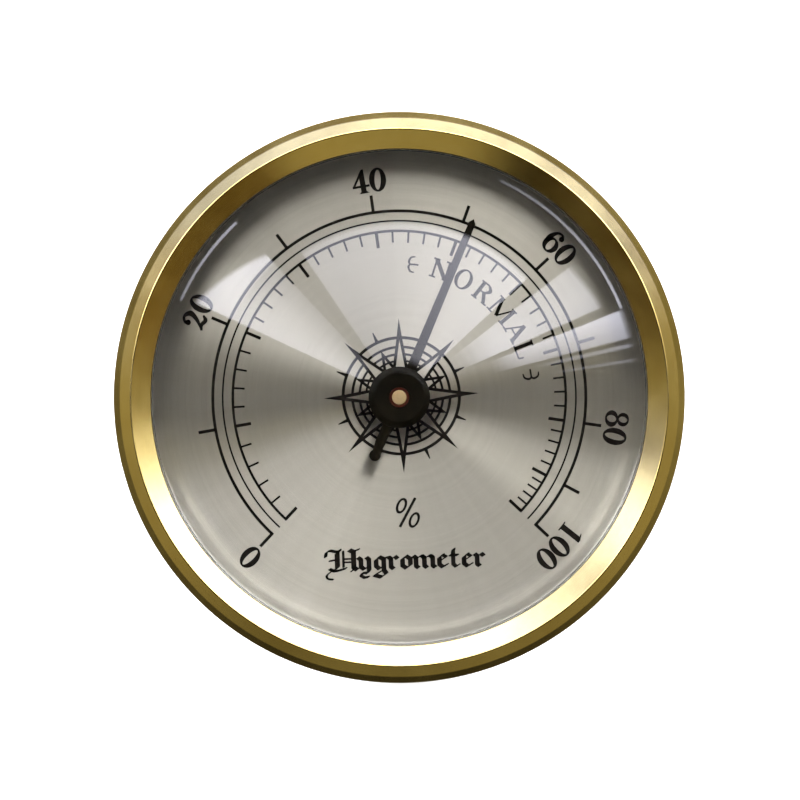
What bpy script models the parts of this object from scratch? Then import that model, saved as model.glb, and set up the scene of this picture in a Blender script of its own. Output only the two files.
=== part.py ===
"""Dial hygrometer, 70 mm across the bezel, in metres, +Z up, with the dial facing -Y.

The origin is on the dial's axis, in the plane of the bezel's rear seat. Depths are
distances along +Y, so what stands in front of the seat has a negative depth.
"""

import math

import bmesh
import bpy
from mathutils import Matrix, Vector

MM = 0.001
GAP = 0.05  # between pieces that touch inside the case
RUNNING = 0.06  # radial clearance of a bearing

# Bezel and glass
BEZEL_R = 35.0
FACET_R = 34.22  # where the outer slope starts
RIDGE_R = 32.86
SIGHT_R = 30.41  # the opening over the dial
BEZEL_BORE_R = 32.4
RIDGE_DEPTH = -3.5
FACET_DEPTH = -2.26
SIGHT_DEPTH = -1.45
LIP_DEPTH = -0.85  # rear face of the bezel's lip
LENS_R = 31.55
LENS_BACK = 0.9
LENS_THICK = 1.3
DOME_R = 29.4  # the shoulder, where the glass turns from its rim to the dome
DOME_DEPTH = -1.75
APEX_DEPTH = -4.1
DOME_STEPS = 4

# Case
CASE_R = 32.35
CASE_INNER_R = 31.65
CASE_DEPTH = 16.0
CASE_FLOOR = 15.2
VENT_R = 1.5
VENT_RINGS = ((21.0, 12), (12.5, 6))  # ring radius and number of holes
ACCESS_R = 2.2  # the hole over the calibration slot

# Dial
DIAL_FRONT = 2.35
DIAL_BACK = 2.85
FOOT_Z = 12.0  # the dial's feet stand above and below the arbor

# Movement
PLATE_FRONT = 4.4
PLATE_BACK = 5.4
PLATE_R = 14.5
PILLAR_RING_R = 12.0
PILLAR_ANGLES = (30.0, 150.0, 270.0)
BRIDGE_FRONT = 12.0
BRIDGE_BACK = 12.8
BRIDGE_R = 13.6
STUD_RING_R = 9.4
STUD_R = 0.7
STUD_PLAY = 0.3
ADJUST_RANGE = 25.0  # degrees each way
ARBOR_R = 0.88
PIVOT_R = 0.5

# Pointer
REST_ANGLE = 24.7  # clockwise from the top: 51 on the scale
BLADE_R = 23.6
TAIL_R = 8.4
HUB_R = 3.76
POINTER_FRONT = 0.1
POINTER_THICK = 0.35

# Coil
COIL_INNER_R = 2.25
COIL_TURNS = 4
COIL_THICK = 0.25
COIL_FRONT = 7.7
COIL_BACK = 10.3

ROUND = 64
SMALL_ROUND = 16


def start_scene():
    for old in list(bpy.data.objects):
        bpy.data.objects.remove(old)
    bpy.context.scene.unit_settings.system = "METRIC"


def make_material(name, colour, roughness, metallic, transmission=0.0):
    material = bpy.data.materials.new(name)
    material.use_nodes = True
    shader = material.node_tree.nodes["Principled BSDF"]
    shader.inputs["Base Color"].default_value = (*colour, 1.0)
    shader.inputs["Roughness"].default_value = roughness
    shader.inputs["Metallic"].default_value = metallic
    shader.inputs["Transmission Weight"].default_value = transmission
    return material


def on_axis(radius, depth, angle):
    """The point at this depth, this far from the dial's axis, clockwise from the top."""
    turn = math.radians(angle)
    return Vector((radius * math.sin(turn), depth, radius * math.cos(turn)))


def new_object(name, bm, material):
    mesh = bpy.data.meshes.new(name)
    bmesh.ops.recalc_face_normals(bm, faces=bm.faces)
    bmesh.ops.scale(bm, vec=(MM, MM, MM), verts=bm.verts)
    bm.to_mesh(mesh)
    bm.free()
    mesh.shade_smooth()
    mesh.set_sharp_from_angle(angle=math.radians(28))
    obj = bpy.data.objects.new(name, mesh)
    bpy.context.scene.collection.objects.link(obj)
    obj.data.materials.append(material)
    return obj


def turned(name, profile, material, steps=ROUND, centre=(0.0, 0.0)):
    """Spins an outline of (radius, depth) points about the line along Y at this (x, z)."""
    bm = bmesh.new()
    verts = [bm.verts.new((radius, depth, 0.0)) for radius, depth in profile]
    touches_axis = profile[0][0] == 0.0 and profile[-1][0] == 0.0
    pairs = list(zip(verts, verts[1:]))
    if not touches_axis:
        pairs.append((verts[-1], verts[0]))
    edges = [bm.edges.new(pair) for pair in pairs]
    bmesh.ops.spin(
        bm,
        geom=verts + edges,
        cent=(0.0, 0.0, 0.0),
        axis=(0.0, 1.0, 0.0),
        angle=math.tau,
        steps=steps,
        use_merge=True,
    )
    bmesh.ops.remove_doubles(bm, verts=bm.verts, dist=1e-5)
    bmesh.ops.translate(bm, verts=bm.verts, vec=(centre[0], 0.0, centre[1]))
    return new_object(name, bm, material)


def ring(inner, outer, front, back, bevel=0.0):
    """The outline of a plain ring, with its outer edges bevelled."""
    if not bevel:
        return [(inner, front), (outer, front), (outer, back), (inner, back)]
    return [
        (inner, front),
        (outer - bevel, front),
        (outer, front + bevel),
        (outer, back - bevel),
        (outer - bevel, back),
        (inner, back),
    ]


def extruded(name, outline, front, back, material):
    """A plate whose outline is (x, z) points, from one depth to the other."""
    bm = bmesh.new()
    face = bm.faces.new([bm.verts.new((x, front, z)) for x, z in outline])
    made = bmesh.ops.extrude_face_region(bm, geom=[face])
    moved = [item for item in made["geom"] if isinstance(item, bmesh.types.BMVert)]
    bmesh.ops.translate(bm, verts=moved, vec=(0.0, back - front, 0.0))
    bmesh.ops.triangulate(bm, faces=[f for f in bm.faces if len(f.verts) > 4])
    return new_object(name, bm, material)


def cut(obj, cutters):
    for cutter in cutters:
        cutter.hide_render = True
        cutter.display_type = "WIRE"
        modifier = obj.modifiers.new(cutter.name, "BOOLEAN")
        modifier.operation = "DIFFERENCE"
        modifier.solver = "EXACT"
        modifier.object = cutter


def hole(name, centre, radius, front, back, steps=SMALL_ROUND):
    """A round cutter along Y."""
    outline = [(0.0, front), (radius, front), (radius, back), (0.0, back)]
    return turned(name, outline, MATERIALS["cutter"], steps, centre)


def dome_profile(radius, depth_at_radius, apex, points):
    """The arc from the edge of a dome to its apex, on the axis."""
    rise = depth_at_radius - apex
    sphere = (radius * radius + rise * rise) / (2.0 * rise)
    outline = []
    for index in range(points + 1):
        r = radius * (1.0 - index / points)
        outline.append((r, apex + sphere - math.sqrt(sphere * sphere - r * r)))
    return outline


def make_bezel():
    profile = [
        (SIGHT_R, SIGHT_DEPTH),
        (RIDGE_R - 0.12, RIDGE_DEPTH + 0.08),
        (RIDGE_R, RIDGE_DEPTH),
        (RIDGE_R + 0.12, RIDGE_DEPTH + 0.08),
        (FACET_R, FACET_DEPTH),
        (BEZEL_R - 0.16, FACET_DEPTH + 0.25),
        (BEZEL_R, FACET_DEPTH + 0.65),
        (BEZEL_R, -0.25),
        (BEZEL_R - 0.25, 0.0),
        (BEZEL_BORE_R, 0.0),
        (BEZEL_BORE_R, LIP_DEPTH),
        (SIGHT_R, LIP_DEPTH),
    ]
    turned("bezel", profile, MATERIALS["brass"])


def make_glass():
    gasket_back = LIP_DEPTH + 0.4
    turned(
        "lens_gasket",
        ring(SIGHT_R + 0.3, LENS_R, LIP_DEPTH + GAP, gasket_back),
        MATERIALS["rubber"],
    )
    rim_front = gasket_back + GAP
    outer = dome_profile(DOME_R, DOME_DEPTH, APEX_DEPTH, DOME_STEPS)
    inner_radius = DOME_R - 0.55
    inner = dome_profile(inner_radius, DOME_DEPTH + LENS_THICK, APEX_DEPTH + LENS_THICK, DOME_STEPS)
    shoulder = [
        (LENS_R, LENS_BACK),
        (LENS_R, rim_front),
        (SIGHT_R - 0.15, rim_front),
        (SIGHT_R - 0.45, rim_front - 0.25),
        (DOME_R + 0.2, DOME_DEPTH + 0.3),
    ]
    inside_edge = [(SIGHT_R - 1.0, LENS_BACK)]
    profile = inner[::-1] + inside_edge + shoulder + outer
    turned("lens", profile, MATERIALS["glass"])
    turned(
        "spacer_ring",
        ring(SIGHT_R + 0.2, LENS_R, LENS_BACK + GAP, DIAL_FRONT - GAP),
        MATERIALS["black"],
    )


def make_dial():
    dial = turned(
        "dial_plate", ring(1.6, LENS_R, DIAL_FRONT, DIAL_BACK), MATERIALS["silver"]
    )
    feet = []
    for side, z in (("upper", FOOT_Z), ("lower", -FOOT_Z)):
        name = f"dial_foot_hole_{side}"
        feet.append(hole(name, (0.0, z), 0.6, DIAL_FRONT + 0.25, DIAL_BACK + 1.0))
        make_dial_foot(side, z)
    cut(dial, feet)


def make_dial_foot(side, z):
    """A shouldered stud, set in the dial's back and held in the movement plate by a nut."""
    profile = [
        (0.0, DIAL_FRONT + 0.3),
        (0.55, DIAL_FRONT + 0.3),
        (0.55, DIAL_BACK + GAP),
        (1.4, DIAL_BACK + GAP),
        (1.4, PLATE_FRONT - GAP),
        (0.8, PLATE_FRONT - GAP),
        (0.8, PLATE_BACK + 1.5),
        (0.65, PLATE_BACK + 1.65),
        (0.0, PLATE_BACK + 1.65),
    ]
    turned(f"dial_foot_{side}", profile, MATERIALS["brass"], SMALL_ROUND, (0.0, z))
    nut_front = PLATE_BACK + GAP
    nut_back = nut_front + 1.1
    profile = [
        (0.0, nut_front),
        (1.75, nut_front),
        (1.75, nut_back - 0.2),
        (1.45, nut_back),
        (0.0, nut_back),
    ]
    nut = turned(f"foot_nut_{side}", profile, MATERIALS["steel"], 6, (0.0, z))
    nut_hole = hole(f"foot_nut_hole_{side}", (0.0, z), 0.86, nut_front - 1, nut_back + 1)
    cut(nut, [nut_hole])


def make_case():
    turned(
        "dial_seat_sleeve",
        ring(30.9, CASE_INNER_R - GAP, DIAL_BACK + GAP, CASE_FLOOR - GAP),
        MATERIALS["silver"],
    )
    profile = [
        (CASE_INNER_R, LIP_DEPTH + GAP),
        (CASE_R, LIP_DEPTH + GAP),
        (CASE_R, CASE_DEPTH - 1.5),
        (CASE_R - 0.44, CASE_DEPTH - 0.44),
        (CASE_R - 1.5, CASE_DEPTH),
        (ACCESS_R, CASE_DEPTH),
        (ACCESS_R, CASE_FLOOR),
        (CASE_INNER_R, CASE_FLOOR),
    ]
    case = turned("case_cup", profile, MATERIALS["case"])
    vents = []
    for ring_r, count in VENT_RINGS:
        for index in range(count):
            place = on_axis(ring_r, 0.0, 360.0 * (index + 0.5) / count)
            name = f"vent_{ring_r:.0f}_{index}"
            centre = (place.x, place.z)
            vents.append(hole(name, centre, VENT_R, CASE_FLOOR - 1, CASE_DEPTH + 1, 12))
    cut(case, vents)
    make_mounting_gasket()


def make_mounting_gasket():
    """A rubber sleeve with three soft ribs, which grips the wall of the panel's hole."""
    front = 3.0
    pitch = 1.8
    inner = CASE_R + GAP
    profile = [(inner, front + 3 * pitch), (inner, front)]
    for rib in range(3):
        start = front + rib * pitch
        profile.append((inner + 0.45, start))
        profile.append((inner + 0.95, start + 0.5 * pitch))
    profile.append((inner + 0.45, front + 3 * pitch))
    turned("mounting_gasket", profile, MATERIALS["rubber"])


def pointer_outline():
    """Blade, round middle and tail, pointing at the top, as (x, z) points."""
    tip_half, tip_length = 0.42, 0.5
    root_half, neck_half = 0.62, 0.64
    middle_r, middle_steps = 2.6, 7
    end_r, neck_length = 0.71, 2.4
    right = [(0.0, BLADE_R), (tip_half, BLADE_R - tip_length)]
    first = math.asin(root_half / middle_r)
    last = math.pi - math.asin(neck_half / middle_r)
    for index in range(middle_steps):
        angle = first + (last - first) * index / (middle_steps - 1)
        right.append((middle_r * math.sin(angle), middle_r * math.cos(angle)))
    right.append((neck_half, -TAIL_R + neck_length))
    for degrees in (60.0, 90.0, 125.0, 160.0):
        turn = math.radians(degrees)
        right.append((end_r * math.sin(turn), -TAIL_R + end_r + end_r * math.cos(turn)))
    left = [(-x, z) for x, z in right if x > 0.0]
    return right + left[::-1]


def make_pointer(body):
    back = POINTER_FRONT + POINTER_THICK
    blade = extruded("pointer", pointer_outline(), POINTER_FRONT, back, MATERIALS["black"])
    cut(blade, [hole("pointer_hole", (0.0, 0.0), 1.25, POINTER_FRONT - 1, back + 1)])
    blade.rotation_euler = (0.0, math.radians(REST_ANGLE), 0.0)
    disc_back = POINTER_FRONT - GAP
    disc = turned(
        "pointer_hub_disc",
        [
            (1.25, disc_back - 0.55),
            (HUB_R - 0.75, disc_back - 0.55),
            (HUB_R, disc_back - 0.2),
            (HUB_R, disc_back),
            (1.25, disc_back),
        ],
        MATERIALS["black"],
        36,
    )
    collet = turned(
        "pointer_collet",
        [
            (ARBOR_R + 0.03, disc_back - 0.75),
            (1.1, disc_back - 0.75),
            (1.2, disc_back - 0.65),
            (1.2, back + GAP),
            (1.7, back + GAP),
            (1.7, back + 1.0),
            (ARBOR_R + 0.03, back + 1.0),
        ],
        MATERIALS["black"],
        SMALL_ROUND,
    )
    tip = disc_back - 0.95
    shoulder = COIL_BACK + 0.3
    arbor = turned(
        "arbor",
        [
            (0.0, tip),
            (ARBOR_R - 0.15, tip),
            (ARBOR_R, tip + 0.12),
            (ARBOR_R, shoulder),
            (PIVOT_R, shoulder),
            (PIVOT_R, shoulder + 1.8),
            (0.0, shoulder + 1.8),
        ],
        MATERIALS["brass"],
        SMALL_ROUND,
    )
    coil_collet = turned(
        "coil_collet",
        ring(ARBOR_R + 0.03, COIL_INNER_R - 0.3, COIL_FRONT - 0.3, COIL_BACK, 0.15),
        MATERIALS["brass"],
        SMALL_ROUND,
    )
    for obj in (blade, disc, collet, arbor, coil_collet):
        obj.parent = body


def make_movement():
    plate = turned(
        "movement_plate",
        ring(2.0, PLATE_R, PLATE_FRONT, PLATE_BACK),
        MATERIALS["brass"],
        48,
    )
    bush_flange = PLATE_BACK + GAP
    bore = ARBOR_R + RUNNING
    turned(
        "front_bush",
        [
            (bore, DIAL_BACK + 0.6),
            (1.9, DIAL_BACK + 0.6),
            (1.9, bush_flange),
            (2.7, bush_flange),
            (2.7, bush_flange + 0.6),
            (bore, bush_flange + 0.6),
        ],
        MATERIALS["brass"],
        SMALL_ROUND,
    )
    cutters = [
        hole(f"plate_foot_hole_{side}", (0.0, z), 0.87, PLATE_FRONT - 1, PLATE_BACK + 1)
        for side, z in (("upper", FOOT_Z), ("lower", -FOOT_Z))
    ]
    for number, angle in enumerate(PILLAR_ANGLES, 1):
        place = on_axis(PILLAR_RING_R, 0.0, angle)
        centre = (place.x, place.z)
        name = f"plate_pillar_hole_{number}"
        cutters.append(hole(name, centre, 0.87, PLATE_FRONT - 1, PLATE_BACK + 1, 16))
        make_pillar(number, centre)
    cut(plate, cutters)
    make_bridge()


def make_pillar(number, centre):
    """A pillar riveted in the plate, with the screw that holds the bridge on it."""
    base = PLATE_BACK + GAP
    top = BRIDGE_FRONT - GAP
    turned(
        f"pillar_{number}",
        [
            (0.0, PLATE_FRONT + 0.1),
            (0.8, PLATE_FRONT + 0.1),
            (0.8, base),
            (1.3, base),
            (1.3, top),
            (0.6, top),
            (0.6, top - 2.5),
            (0.0, top - 2.5),
        ],
        MATERIALS["brass"],
        16,
        centre,
    )
    head_front = BRIDGE_BACK + GAP
    screw = turned(
        f"pillar_screw_{number}",
        [
            (0.0, top - 2.2),
            (0.54, top - 2.2),
            (0.54, head_front),
            (1.2, head_front),
            (1.2, head_front + 0.55),
            (1.0, head_front + 0.75),
            (0.0, head_front + 0.75),
        ],
        MATERIALS["steel"],
        16,
        centre,
    )
    cut(screw, [slot_cutter(f"pillar_slot_{number}", centre, 0.35, head_front + 0.4)])


def slot_cutter(name, centre, width, front, length=6.0):
    """A box that cuts a screwdriver slot from this depth to the rear."""
    half = width / 2.0
    x, z = centre
    outline = [
        (x - length / 2.0, z - half),
        (x + length / 2.0, z - half),
        (x + length / 2.0, z + half),
        (x - length / 2.0, z + half),
    ]
    return extruded(name, outline, front, front + 3.0, MATERIALS["cutter"])


def arc_slot_outline():
    """The bridge's slot, centred on the top: the stud's travel and its play."""
    half_width = STUD_R + STUD_PLAY
    steps = 10
    inner = []
    outer = []
    for index in range(steps + 1):
        angle = math.radians(ADJUST_RANGE * (2.0 * index / steps - 1.0))
        inner_r = STUD_RING_R - half_width
        outer_r = STUD_RING_R + half_width
        inner.append((inner_r * math.sin(angle), inner_r * math.cos(angle)))
        outer.append((outer_r * math.sin(angle), outer_r * math.cos(angle)))
    ends = []
    for side in (1.0, -1.0):
        angle = math.radians(ADJUST_RANGE * side)
        middle = Vector((math.sin(angle), math.cos(angle))) * STUD_RING_R
        along = Vector((math.cos(angle), -math.sin(angle))) * side
        across = Vector((math.sin(angle), math.cos(angle))) * side
        points = []
        for turn in (45.0, 90.0, 135.0):
            bend = math.radians(turn)
            away = along * math.sin(bend) + across * math.cos(bend)
            points.append(tuple(middle + away * half_width))
        ends.append(points)
    return outer + ends[0] + inner[::-1] + ends[1]


def make_bridge():
    bridge = turned(
        "bridge",
        ring(2.0 + RUNNING, BRIDGE_R, BRIDGE_FRONT, BRIDGE_BACK),
        MATERIALS["brass"],
        48,
    )
    cutters = [
        extruded(
            "arc_slot",
            arc_slot_outline(),
            BRIDGE_FRONT - 1.0,
            BRIDGE_BACK + 1.0,
            MATERIALS["cutter"],
        )
    ]
    for number, angle in enumerate(PILLAR_ANGLES, 1):
        place = on_axis(PILLAR_RING_R, 0.0, angle)
        name = f"bridge_hole_{number}"
        centre = (place.x, place.z)
        cutters.append(hole(name, centre, 0.6, BRIDGE_FRONT - 1, BRIDGE_BACK + 1, 16))
    cut(bridge, cutters)
    turned(
        "friction_washer",
        ring(2.1, 3.6, BRIDGE_BACK + GAP, BRIDGE_BACK + 0.3),
        MATERIALS["steel"],
        36,
    )


def make_adjuster(body):
    arm_front = COIL_BACK + 0.45
    arm_back = arm_front + 0.5
    flange_back = BRIDGE_FRONT - GAP
    hub = turned(
        "calibration_hub",
        [
            (PIVOT_R + RUNNING, arm_front),
            (1.6, arm_front),
            (1.6, arm_back + GAP),
            (3.2, arm_back + GAP),
            (3.2, flange_back),
            (2.0, flange_back),
            (2.0, 14.0),
            (1.8, 14.2),
            (0.0, 14.2),
            (0.0, 13.0),
            (PIVOT_R + RUNNING, 13.0),
        ],
        MATERIALS["brass"],
        36,
    )
    cut(hub, [slot_cutter("calibration_slot", (0.0, 0.0), 0.6, 13.5)])
    arm = extruded("calibration_arm", arm_outline(), arm_front, arm_back, MATERIALS["steel"])
    arm_holes = [
        hole("arm_hub_hole", (0.0, 0.0), 1.65, arm_front - 1, arm_back + 1),
        hole("arm_stud_hole", (0.0, STUD_RING_R), STUD_R + 0.05, arm_front - 1, arm_back + 1),
    ]
    cut(arm, arm_holes)
    stud = turned(
        "coil_stud",
        [
            (0.0, COIL_FRONT - 0.4),
            (STUD_R, COIL_FRONT - 0.4),
            (STUD_R, BRIDGE_BACK + 0.2),
            (STUD_R - 0.15, BRIDGE_BACK + 0.35),
            (0.0, BRIDGE_BACK + 0.35),
        ],
        MATERIALS["brass"],
        SMALL_ROUND,
        (0.0, STUD_RING_R),
    )
    slit_half = COIL_THICK / 2.0 + 2.0 * GAP
    slit = extruded(
        "stud_slit",
        [
            (-2.0, STUD_RING_R - slit_half),
            (2.0, STUD_RING_R - slit_half),
            (2.0, STUD_RING_R + slit_half),
            (-2.0, STUD_RING_R + slit_half),
        ],
        COIL_FRONT - 1.0,
        COIL_BACK + 0.15,
        MATERIALS["cutter"],
    )
    cut(stud, [slit])
    ring_front = BRIDGE_BACK + 0.35
    retaining = turned(
        "retaining_ring",
        ring(2.03, 3.2, ring_front, ring_front + 0.45, 0.1),
        MATERIALS["steel"],
        36,
    )
    for obj in (hub, arm, stud, retaining):
        obj.parent = body


def arm_outline():
    """A round boss with an arm that reaches up to the stud, as (x, z) points."""
    boss_r, end_r = 3.0, 1.4
    points = []
    for index in range(17):
        angle = math.radians(20.0 + 20.0 * index)
        points.append((boss_r * math.sin(angle), boss_r * math.cos(angle)))
    for index in range(9):
        angle = math.radians(-100.0 + 25.0 * index)
        z = STUD_RING_R + end_r * math.cos(angle)
        points.append((end_r * math.sin(angle), z))
    return points


def make_coil():
    """A flat strip wound in a spiral; its outer end lies in the stud's slit."""
    steps = 36 * COIL_TURNS
    end_r = STUD_RING_R
    half = COIL_THICK / 2.0
    total = math.tau * COIL_TURNS
    sides = []
    for side in (-half, half):
        points = []
        for index in range(steps + 1):
            share = index / steps
            angle = total * (share - 1.0)
            r = COIL_INNER_R + (end_r - COIL_INNER_R) * share + side
            points.append((r * math.sin(angle), r * math.cos(angle)))
        sides.append(points)
    bm = bmesh.new()
    rows = []
    for index in range(steps + 1):
        row = []
        for points, depth in (
            (sides[0], COIL_FRONT),
            (sides[1], COIL_FRONT),
            (sides[1], COIL_BACK),
            (sides[0], COIL_BACK),
        ):
            x, z = points[index]
            row.append(bm.verts.new((x, depth, z)))
        rows.append(row)
    for before, after in zip(rows, rows[1:]):
        for corner in range(4):
            following = (corner + 1) % 4
            bm.faces.new(
                (before[corner], before[following], after[following], after[corner])
            )
    bm.faces.new(rows[0])
    bm.faces.new(rows[-1][::-1])
    new_object("humidity_coil", bm, MATERIALS["coil"])


start_scene()
MATERIALS = {
    "brass": make_material("brass", (0.62, 0.47, 0.20), 0.28, 1.0),
    "silver": make_material("silver", (0.72, 0.68, 0.60), 0.35, 1.0),
    "glass": make_material("glass", (0.95, 0.97, 0.96), 0.02, 0.0, 1.0),
    "black": make_material("black", (0.015, 0.015, 0.016), 0.35, 0.0),
    "rubber": make_material("rubber", (0.03, 0.03, 0.03), 0.75, 0.0),
    "case": make_material("case", (0.62, 0.62, 0.60), 0.38, 1.0),
    "steel": make_material("steel", (0.55, 0.55, 0.55), 0.3, 1.0),
    "coil": make_material("coil", (0.70, 0.52, 0.30), 0.45, 0.6),
    "cutter": make_material("cutter", (1.0, 0.0, 1.0), 0.5, 0.0),
}
pointer_body = bpy.data.objects.new("pointer_axis", None)
adjuster_body = bpy.data.objects.new("adjuster_axis", None)
for empty in (pointer_body, adjuster_body):
    empty.matrix_world = Matrix.Identity(4)
    bpy.context.scene.collection.objects.link(empty)
make_bezel()
make_glass()
make_dial()
make_case()
make_movement()
make_pointer(pointer_body)
make_adjuster(adjuster_body)
make_coil()
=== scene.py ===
"""Looks of the dial hygrometer, in metres, +Z up, with the dial facing -Y.

Shapes are turned, stroked or cut about the dial's axis, which is the Y axis. Outlines are
given in millimetres as (radius, depth), and angles in degrees clockwise from the top.
"""

import math

import bmesh
import bpy
import numpy as np
from mathutils import Matrix, Vector
from mathutils.geometry import convex_hull_2d


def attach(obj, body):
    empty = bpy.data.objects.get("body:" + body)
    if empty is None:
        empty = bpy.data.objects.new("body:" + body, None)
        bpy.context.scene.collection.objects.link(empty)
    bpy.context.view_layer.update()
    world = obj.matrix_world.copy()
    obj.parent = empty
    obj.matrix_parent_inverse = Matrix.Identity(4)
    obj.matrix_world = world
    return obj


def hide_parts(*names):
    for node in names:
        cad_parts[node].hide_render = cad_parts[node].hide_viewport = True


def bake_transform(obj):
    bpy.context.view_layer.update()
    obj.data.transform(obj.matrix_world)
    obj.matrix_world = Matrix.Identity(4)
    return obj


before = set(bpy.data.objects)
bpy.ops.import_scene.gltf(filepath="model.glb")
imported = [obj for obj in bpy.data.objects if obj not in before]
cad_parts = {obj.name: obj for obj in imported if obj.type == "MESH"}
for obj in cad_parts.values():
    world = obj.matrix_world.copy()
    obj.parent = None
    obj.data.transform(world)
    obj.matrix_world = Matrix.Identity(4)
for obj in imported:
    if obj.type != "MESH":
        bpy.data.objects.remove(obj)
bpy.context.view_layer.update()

MM = 0.001

# Front. These follow the CAD model, apart from BEZEL_R, SIGHT_DEPTH, DOME_R and DOME_DEPTH,
# which differ from it a little: the first to stay inside its box, the others for the
# reflections in the photograph.
BEZEL_R, FACET_R, RIDGE_R, SIGHT_R = 34.998, 34.22, 32.86, 30.41
BEZEL_BORE_R = 32.4
RIDGE_DEPTH, FACET_DEPTH, SIGHT_DEPTH, LIP_DEPTH = -3.5, -2.26, -1.6, -0.85
LENS_R, LENS_BACK, LENS_THICK = 31.55, 0.9, 1.3
DOME_R, DOME_DEPTH, APEX_DEPTH = 30.2, -1.6, -4.1
DIAL_FRONT, DIAL_BACK = 2.35, 2.85
DIAL_HOLE_R = 1.6
CASE_R, CASE_INNER_R, CASE_DEPTH, CASE_FLOOR = 32.35, 31.65, 16.0, 15.2
SLEEVE_R, VENT_R, ACCESS_R = 30.9, 1.5, 2.2
VENT_RINGS = ((21.0, 12), (12.5, 6))
GAP = 0.05

# Pointer
REST_ANGLE = 24.7
BLADE_R, TAIL_R, HUB_R = 23.6, 8.4, 3.76
POINTER_FRONT, POINTER_THICK = 0.1, 0.35
ARBOR_R = 0.88

# Scale
SCALE_START = -135.0
DECADE_SWEEPS = (37, 33, 30, 29, 28, 27, 26, 25, 20, 15)
INK_FRONT, INK_BACK = DIAL_FRONT - 0.03, DIAL_FRONT - 0.004


def polar(radius, angle):
    turn = math.radians(angle)
    return (radius * math.sin(turn), radius * math.cos(turn))


# ---------------------------------------------------------------- materials


class Nodes:
    """Short calls for building a node tree."""

    def __init__(self, tree):
        self.tree = tree

    def node(self, kind, inputs=None, **settings):
        made = self.tree.nodes.new("ShaderNode" + kind)
        for name, value in settings.items():
            setattr(made, name, value)
        for socket, value in (inputs or {}).items():
            if isinstance(value, bpy.types.NodeSocket):
                self.tree.links.new(value, made.inputs[socket])
            else:
                made.inputs[socket].default_value = value
        return made

    def math(self, operation, a, b=0.0, clamp=False):
        made = self.node("Math", {0: a, 1: b}, operation=operation, use_clamp=clamp)
        return made.outputs[0]

    def ramp(self, value, low, high, start=0.0, end=1.0, smooth=False):
        """Maps value from start..end to low..high."""
        made = self.node(
            "MapRange",
            {"Value": value, "From Min": start, "From Max": end, "To Min": low, "To Max": high},
            interpolation_type="SMOOTHSTEP" if smooth else "LINEAR",
        )
        return made.outputs[0]

    def mix(self, share, first, second):
        made = self.node("Mix", {0: share, 6: first, 7: second}, data_type="RGBA")
        return made.outputs[2]

    def dial_angle(self, x, z):
        """Angle clockwise from the top, in degrees from -180 to 180."""
        return self.math("DEGREES", self.math("ARCTAN2", x, z))


class Shader(Nodes):
    """A material's Principled shader, with short calls for the nodes that feed it."""

    def __init__(self, name, **values):
        self.material = bpy.data.materials.new(name)
        self.material.use_nodes = True
        super().__init__(self.material.node_tree)
        self.main = self.tree.nodes["Principled BSDF"]
        for socket, value in values.items():
            self.main.inputs[socket.replace("_", " ")].default_value = value

    def place(self):
        """(x, y, z, radius) of the shaded point, in metres, about the dial's axis."""
        split = self.node("SeparateXYZ", {0: self.node("TexCoord").outputs["Object"]}).outputs
        squares = self.math(
            "ADD", self.math("MULTIPLY", split[0], split[0]),
            self.math("MULTIPLY", split[2], split[2]),
        )
        return split[0], split[1], split[2], self.math("SQRT", squares)

    def noise(self, scale, detail, w=None, roughness=0.6):
        """Noise over the object, or along the value w."""
        inputs = {"Scale": scale, "Detail": detail, "Roughness": roughness}
        if w is not None:
            inputs["W"] = w
            return self.node("TexNoise", inputs, noise_dimensions="1D").outputs[0]
        inputs["Vector"] = self.node("TexCoord").outputs["Object"]
        return self.node("TexNoise", inputs).outputs[0]

    def link(self, value, socket):
        self.tree.links.new(value, self.main.inputs[socket])

    def colour(self, share, first, second):
        self.link(self.mix(share, first, second), "Base Color")

    def bump(self, height, strength, distance):
        """Small relief, whose distance is in millimetres."""
        made = self.node(
            "Bump", {"Height": height, "Strength": strength, "Distance": distance * MM}
        )
        self.link(made.outputs[0], "Normal")


def rgb(red, green, blue):
    return (red, green, blue, 1.0)


def turned_metal(name, colour, dark, roughness, strength=0.25, coat=0.0):
    """Metal with fine rings from the lathe, soft stains and a little wear."""
    spread = 0.08
    shader = Shader(name, Metallic=1.0, Coat_Weight=coat, Coat_Roughness=0.22, Coat_IOR=1.6)
    _, depth, _, radius = shader.place()
    along = shader.math("ADD", radius, shader.math("MULTIPLY", depth, 0.73))
    rings = shader.noise(9000.0, 3.0, w=along)
    stains = shader.noise(160.0, 5.0)
    speckle = shader.noise(5200.0, 2.0)
    tone = shader.math("MULTIPLY", stains, shader.ramp(speckle, 0.85, 1.15))
    shader.colour(shader.ramp(tone, 0.0, 1.0, 0.35, 0.62), dark, colour)
    rough = shader.math("ADD", shader.ramp(stains, -spread, spread), roughness)
    rough = shader.math("ADD", rough, shader.ramp(rings, -spread / 2, spread / 2))
    shader.link(rough, "Roughness")
    mixed = shader.math("ADD", rings, shader.math("MULTIPLY", speckle, 0.5))
    shader.bump(mixed, strength, 0.02)
    return shader.material


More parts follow.
